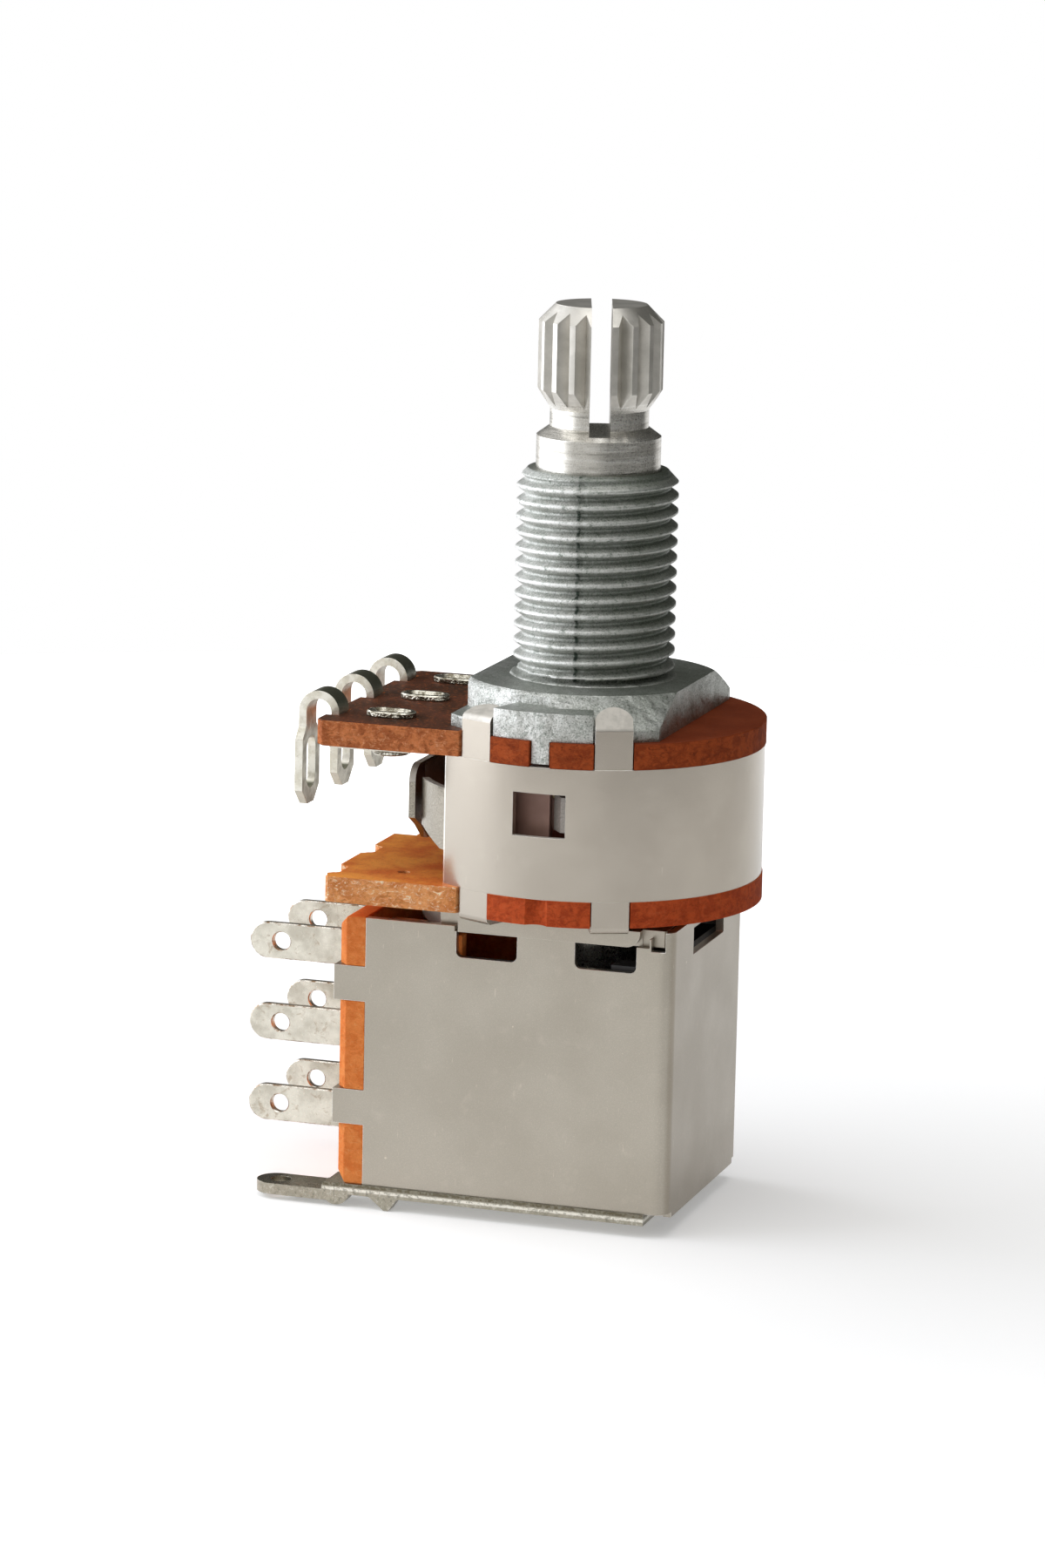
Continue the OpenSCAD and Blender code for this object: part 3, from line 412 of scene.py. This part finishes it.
# Laminate colours: two faces, two cut edges, fibre
BROWN_DISC = ((0.18, 0.032, 0.010), (0.235, 0.048, 0.016),
              (0.36, 0.062, 0.016), (0.44, 0.085, 0.022), (0.50, 0.15, 0.05))
BROWN_TONGUE = ((0.045, 0.022, 0.013), (0.10, 0.036, 0.020),
                (0.52, 0.150, 0.048), (0.64, 0.21, 0.075), (0.74, 0.36, 0.18))
ORANGE_DISC = ((0.60, 0.11, 0.025), (0.70, 0.15, 0.03),
               (0.50, 0.070, 0.018), (0.60, 0.098, 0.026), (0.66, 0.18, 0.07))
ORANGE_TONGUE = ((0.68, 0.14, 0.028), (0.93, 0.345, 0.065),
                 (0.78, 0.28, 0.085), (0.86, 0.38, 0.14), (1.0, 0.84, 0.60))
BOARD_INSIDE = ((0.80, 0.22, 0.05), (0.84, 0.26, 0.065),
                (0.80, 0.22, 0.05), (0.84, 0.26, 0.065), (0.86, 0.40, 0.14))
BOARD_OUTSIDE = ((0.79, 0.205, 0.045), (0.86, 0.27, 0.07),
                 (0.79, 0.205, 0.045), (0.86, 0.27, 0.07), (0.88, 0.42, 0.15))

# One material for each material slot of the record
MAT = {
    "cast_zinc": zinc(),
    "turned_metal": turned(),
    "tinned_metal": tinned(),
    "spring_steel": sheet("spring_steel", (0.55, 0.55, 0.54), (0.42, 0.42, 0.41), rough=0.25),
    "nickel_steel": sheet("nickel_steel", (0.475, 0.43, 0.368), (0.45, 0.405, 0.345), rough=0.22,
                          speck=0.25, wear=0.04, grainy=0.12, inner=CAN_INNER_R),
    # frame_steel has painted shade on the faces that turn to the right
    "frame_steel": sheet("frame_steel", (0.53, 0.487, 0.412), (0.48, 0.437, 0.365), rough=0.33,
                         speck=0.4, wear=0.06, grainy=0.6, shade=0.36),
    "contact_metal": film("contact_metal", (0.72, 0.60, 0.36), (0.62, 0.50, 0.30), 0.95),
    "brown_laminate": laminate("brown_laminate", BROWN_DISC, BROWN_TONGUE),
    "orange_laminate": laminate("orange_laminate", ORANGE_DISC, ORANGE_TONGUE,
                                gloss=0.4, clear=0.12, fibres=0.9, fleck=0.45),
    "orange_board": laminate("orange_board", BOARD_INSIDE, BOARD_OUTSIDE,
                             clear=0.08, fibres=0.25, fleck=0.12),
    "carbon_ink": film("carbon_ink", (0.02, 0.02, 0.02), (0.035, 0.035, 0.035), 0.0),
    "silver_ink": film("silver_ink", (0.62, 0.61, 0.58), (0.5, 0.49, 0.46), 0.8),
    "brown_plastic": plastic("brown_plastic", (0.34, 0.19, 0.15), (0.42, 0.245, 0.195), 0.5),
    "black_plastic": plastic("black_plastic", (0.012, 0.012, 0.013), (0.02, 0.02, 0.021), 0.4),
}
# the base plate's worn steel, with painted shadow and highlight lines on its cut edge
WORN_STEEL_PAINTED_LINES = sheet("worn_steel_painted_lines", (0.46, 0.43, 0.35), (0.37, 0.345, 0.275), rough=0.26,
                   speck=0.6, wear=0.1, grainy=0.5, dirt=0.45)
LOOP_METAL = looped_strip()
EYELET_METAL = eyelet()
# partly a painted highlight: pale and half metallic, so the bevels stay bright whatever they face
BRIGHT_EDGE = edge_finish("bright_edge", (0.97, 0.95, 0.90), (0.66, 0.62, 0.54), 0.45)
EYELET_EDGE = edge_finish("eyelet_edge", (0.74, 0.71, 0.61), (0.20, 0.175, 0.12))
GRIMY_EDGE = edge_finish("grimy_edge", (0.50, 0.48, 0.40), (0.10, 0.095, 0.065))
# partly a painted highlight on the loops' rounded edges
IVORY_EDGE = edge_finish("ivory_edge", (0.92, 0.89, 0.80), (0.66, 0.62, 0.52))
TARNISHED_EDGE = edge_finish("tarnished_edge", (0.80, 0.76, 0.68), (0.24, 0.14, 0.07))


# Geometry helpers. Angles in degrees
WELD_GAP = 0.002 * MM
SPLIT_ANGLE = 31
SHARP_ANGLE = 50


def paint(obj, mat):
    obj.data.materials.clear()
    obj.data.materials.append(mat)


def mesh_object(name, bm):
    me = bpy.data.meshes.new(name)
    bm.to_mesh(me)
    bm.free()
    obj = bpy.data.objects.new(name, me)
    bpy.context.scene.collection.objects.link(obj)
    return obj


def soften(obj, width, angle=34, segments=1, edge=None):
    """Bevels the sharp edges by width in millimetres. The new faces can take a finish of their own."""
    weld = obj.modifiers.new("weld", "WELD")
    weld.merge_threshold = WELD_GAP
    bevel = obj.modifiers.new("bevel", "BEVEL")
    bevel.width = width * MM
    bevel.segments = segments
    bevel.limit_method = "ANGLE"
    bevel.angle_limit = math.radians(angle)
    bevel.use_clamp_overlap = True
    if edge:
        obj.data.materials.append(edge)
        bevel.material = len(obj.data.materials) - 1
    split = obj.modifiers.new("split", "EDGE_SPLIT")
    split.use_edge_angle = True
    split.use_edge_sharp = False
    split.split_angle = math.radians(SPLIT_ANGLE)


# Finishes of the carried-over nodes
for row in frame["record"]["subparts"]:
    paint(nodes[row["node"]], MAT[row["material_slot"]])
paint(nodes["base_plate"], WORN_STEEL_PAINTED_LINES)
paint(nodes["terminal_rivets"], EYELET_METAL)

# bright_edge on these bevels is partly a painted highlight
for name, width, edge in (("can", 0.07, BRIGHT_EDGE), ("switch_frame", 0.07, BRIGHT_EDGE),
                          ("seat_plate", 0.07, BRIGHT_EDGE), ("base_plate", 0.06, GRIMY_EDGE),
                          ("terminal_board", 0.05, None), ("upper_wafer", 0.04, None),
                          ("lower_wafer", 0.05, None), ("terminal_rivets", 0.06, EYELET_EDGE)):
    soften(nodes[name], width, edge=edge)
for name in nodes:
    if name.startswith("switch_lug"):
        soften(nodes[name], 0.05, edge=TARNISHED_EDGE)
    elif name.startswith("terminal_") and name[-1].isdigit():
        paint(nodes[name], LOOP_METAL)
        soften(nodes[name], 0.08, edge=IVORY_EDGE)


# Bushing, in millimetres
STEPS = 180            # round the tube
ROWS = 14              # to a pitch
THREAD_LOW = -0.05
THREAD_START = 0.16
CREST_HALF = 0.16      # crest and flank as shares of half a pitch
FLANK = 0.70
CREST_DROP = 0.02
CAST_R = 3.9
UNEVEN = 0.012
CHAMFER = 0.55
CHAMFER_SLOPE = 0.95
GROOVE_HALF = 1.3      # in degrees
GROOVE_DEPTH = 0.05
FOOT_R = 4.0
FOOT_H = 0.32
FOOT_STEP = 0.06
MOUTH_R = 3.42
LIP = 0.07
FLANGE_LOW = -3.25
FLANGE_ROUND = 0.16
SEAT_GAP = 0.02
MERGE_GAP = 0.0002


def thread_radius(phase):
    """Profile of one pitch: a rounded crest, straight flanks and a narrow root."""
    d = abs(phase - 0.5) * 2
    if d < CREST_HALF:
        return CREST_R - CREST_DROP * (d / CREST_HALF) ** 2
    if d > CREST_HALF + FLANK:
        return ROOT_R
    flank_top = CREST_R - CREST_DROP
    return flank_top - (flank_top - ROOT_R) * (d - CREST_HALF) / FLANK


def cast_radius(a, z, phase):
    """The thread as cast: a little uneven, grooved at the seams, chamfered at the end, flared at the foot."""
    r = thread_radius(phase)
    r += UNEVEN * mnoise.noise(Vector((math.cos(a) * 3, math.sin(a) * 3, z * 1.3)))
    seam = min(abs(math.degrees(a) - turn) for turn in GROOVE_TURNS)
    if seam < GROOVE_HALF:
        r -= GROOVE_DEPTH * (1 - seam / GROOVE_HALF)
    z = min(max(z, THREAD_LOW), TOP)
    r = min(r, CAST_R - max(0.0, z - (TOP - CHAMFER)) * CHAMFER_SLOPE)
    if z < FOOT_H:
        r = ROOT_R + FOOT_STEP + (FOOT_R - ROOT_R) * (1 - max(z, 0.0) / FOOT_H) ** 2
    return r


def add_thread(bm):
    """The outside of the tube, wound as one helix."""
    n_rows = int((TOP - THREAD_LOW) / PITCH + 4) * ROWS
    grid = []
    for j in range(n_rows + 1):
        line = []
        for i in range(STEPS + 1):
            a = 2 * math.pi * i / STEPS
            z = THREAD_LOW - 2 * PITCH + THREAD_START + PITCH * (j / ROWS) + PITCH * i / STEPS
            r = cast_radius(a, z, (j % ROWS) / ROWS)
            z = min(max(z, THREAD_LOW), TOP)
            line.append(bm.verts.new((r * math.cos(a) * MM, r * math.sin(a) * MM, z * MM)))
        grid.append(line)
    for low, high in zip(grid, grid[1:]):
        for i in range(STEPS):
            bm.faces.new((low[i], low[i + 1], high[i + 1], high[i]))
    bmesh.ops.remove_doubles(bm, verts=bm.verts, dist=MERGE_GAP * MM)
    bmesh.ops.dissolve_degenerate(bm, dist=MERGE_GAP * MM, edges=bm.edges)


def add_ring(bm, r, z):
    turns = [2 * math.pi * i / STEPS for i in range(STEPS)]
    return [bm.verts.new((r * math.cos(a) * MM, r * math.sin(a) * MM, z * MM)) for a in turns]


def add_mouth_and_bore(bm):
    profile = ((MOUTH_R, TOP - 0.03), (MOUTH_R - 0.12, TOP), (BORE_R + LIP, TOP), (BORE_R, TOP - LIP),
               (BORE_R, FLANGE_LOW))
    loops = [add_ring(bm, r, z) for r, z in profile]
    for a, b in zip(loops, loops[1:]):
        for i in range(STEPS):
            k = (i + 1) % STEPS
            bm.faces.new((a[i], a[k], b[k], b[i]))


def add_flange(bm, cad):
    """The cast flange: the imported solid's own faces below the seat, with the sharp edges rounded."""
    part = bmesh.new()
    part.from_mesh(cad.data)
    bmesh.ops.remove_doubles(part, verts=part.verts, dist=WELD_GAP)
    gone = [f for f in part.faces if max(v.co.z for v in f.verts) > SEAT_GAP * MM]
    bmesh.ops.delete(part, geom=gone, context="FACES")
    rounded = mesh_object("flange_tmp", part)
    soften(rounded, FLANGE_ROUND, angle=20, segments=3)
    dg = bpy.context.evaluated_depsgraph_get()
    me = bpy.data.meshes.new_from_object(rounded.evaluated_get(dg))
    bpy.data.objects.remove(rounded)
    bm.from_mesh(me)
    bpy.data.meshes.remove(me)


def cast_bushing():
    """Threaded tube, bore and flange in one mesh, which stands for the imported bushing."""
    bm = bmesh.new()
    add_thread(bm)
    add_mouth_and_bore(bm)
    add_flange(bm, nodes["bushing"])
    for f in bm.faces:
        f.smooth = True
    bushing = mesh_object("bushing_cast", bm)
    bushing.data.set_sharp_from_angle(angle=math.radians(SHARP_ANGLE))
    paint(bushing, MAT["cast_zinc"])
    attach(bushing, "housing")
    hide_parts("bushing")


cast_bushing()


# Floor, in metres
FLOOR_R = 0.155
FLOOR_COLOR = (0.85, 0.85, 0.85)
FLOOR_GAP = 0.00002
LIFT_NEAR = 0.24
LIFT_FAR = 0.55


def floor_material():
    """Matt white card. Camera, metal and glass see it lifted towards white, and it keeps the shadow."""
    mat = bpy.data.materials.new("floor_white")
    mat.use_nodes = True
    t = Nodes(mat.node_tree)
    away = t.node("ShaderNodeVectorMath", {0: t.node("ShaderNodeTexCoord", out="Object")}, out="Value",
                  operation="LENGTH")
    lift = t.span(away, 0.04, FLOOR_R, LIFT_NEAR, LIFT_FAR)
    # a little more for the camera alone
    lift = t.math("MULTIPLY_ADD", t.span(away, 0.02, 0.10, 0.06, 0.42), t.ray("Is Camera Ray"), lift)
    card = t.node("ShaderNodeBsdfDiffuse", {0: FLOOR_COLOR})
    lifted = t.node("ShaderNodeAddShader", {0: card, 1: t.node("ShaderNodeEmission", {1: lift})})
    t.surface(t.node("ShaderNodeMixShader", {0: t.seen_directly(), 1: card, 2: lifted}))
    return mat


floor_z = cad_box[0].z - FLOOR_GAP
bm = bmesh.new()
bmesh.ops.create_circle(bm, cap_ends=True, segments=96, radius=FLOOR_R)
floor = mesh_object("floor", bm)
floor.location = (0, 0, floor_z)
paint(floor, floor_material())


# World: a soft tent, gray in front. The others say on which axis, from where, to where and in what colour
TENT_FRONT = (0.42, 0.415, 0.40)
TENT_RIGHT = (0, 0.10, 0.60, (0.04, 0.04, 0.035))
TENT_HIGH = (2, 0.40, 0.62, (0.72, 0.715, 0.70))
TENT_BACK = (1, -0.15, 0.35, (0.06, 0.06, 0.055))
TENT_OVERHEAD = (2, 0.80, 0.95, (0.14, 0.14, 0.135))
TENT_LEFT = (0, -0.45, -0.75, (0.95, 0.945, 0.93))


def studio_world():
    """White to the camera, and to metal and glass where the photograph looks; elsewhere they see the tent."""
    world = bpy.data.worlds.new("studio")
    world.use_nodes = True
    t = Nodes(world.node_tree)
    toward = t.node("ShaderNodeTexCoord", out="Generated")
    tent = TENT_FRONT
    for i, start, full, color in (TENT_RIGHT, TENT_HIGH, TENT_BACK, TENT_OVERHEAD, TENT_LEFT):
        tent = t.mix(t.span(t.axis(toward, i), start, full), tent, color)
    # behind the object and below the horizon
    behind = t.math("MULTIPLY", t.span(t.axis(toward, 1), 0.80, 0.92), t.span(t.axis(toward, 2), 0.02, -0.04))
    white = t.math("MAXIMUM", t.ray("Is Camera Ray"), t.math("MULTIPLY", behind, t.seen_directly()))
    dim = t.node("ShaderNodeBackground", {0: tent})
    bright = t.node("ShaderNodeBackground", {0: (1.0, 1.0, 1.0)})
    t.surface(t.node("ShaderNodeMixShader", {0: white, 1: dim, 2: bright}), "ShaderNodeOutputWorld")
    return world


bpy.context.scene.world = studio_world()


# Lamps, in metres and watts
def lamp(name, place, aim, size, power, size_y=None, color=(1, 1, 1)):
    d = bpy.data.lights.new(name, "AREA")
    d.shape = "RECTANGLE"
    d.size = size
    d.size_y = size_y or size
    d.energy = power
    d.color = color
    o = bpy.data.objects.new(name, d)
    o.location = place
    o.rotation_mode = "QUATERNION"
    o.rotation_quaternion = (Vector(aim) - Vector(place)).to_track_quat("-Z", "Y")
    bpy.context.scene.collection.objects.link(o)


BOX_X, BOX_Y, BOX_W, BOX_H = -0.149, -0.018, 0.22, 0.17
BOX_LIFT = 0.002
box_z = floor_z + BOX_H / 2 + BOX_LIFT
lamp("softbox_left", (BOX_X, BOX_Y, box_z), aim=(0, 0, box_z), size=BOX_W, size_y=BOX_H, power=0.26,
     color=(0.94, 0.98, 1.07))
lamp("top", (0.0, -0.06, 0.36), aim=(0, 0, 0), size=0.3, power=0.50)

# Camera solved from the photograph, in metres
AZ, EL, ROLL = (math.radians(v) for v in (17.648, 11.268, 1.2025))
DIST, LENS = 0.26655, 126.19
AIM_RIGHT, AIM_UP = -0.0033132, -0.0055329

back = Vector((math.sin(AZ) * math.cos(EL), -math.cos(AZ) * math.cos(EL), math.sin(EL)))
level_right = Vector((math.cos(AZ), math.sin(AZ), 0))
level_up = back.cross(level_right)
right = math.cos(ROLL) * level_right + math.sin(ROLL) * level_up
up = -math.sin(ROLL) * level_right + math.cos(ROLL) * level_up
cam_data = bpy.data.cameras.new("camera")
cam_data.sensor_width = 36
cam_data.lens = LENS
cam_data.clip_start = 0.01
cam_data.clip_end = 5
cam = bpy.data.objects.new("camera", cam_data)
bpy.context.scene.collection.objects.link(cam)
stand = Matrix((right, up, back)).transposed().to_4x4()
stand.translation = level_right * AIM_RIGHT + Vector((0, 0, AIM_UP)) + back * DIST
cam.matrix_world = stand
bpy.context.scene.camera = cam
bpy.context.scene.view_settings.view_transform = "Standard"
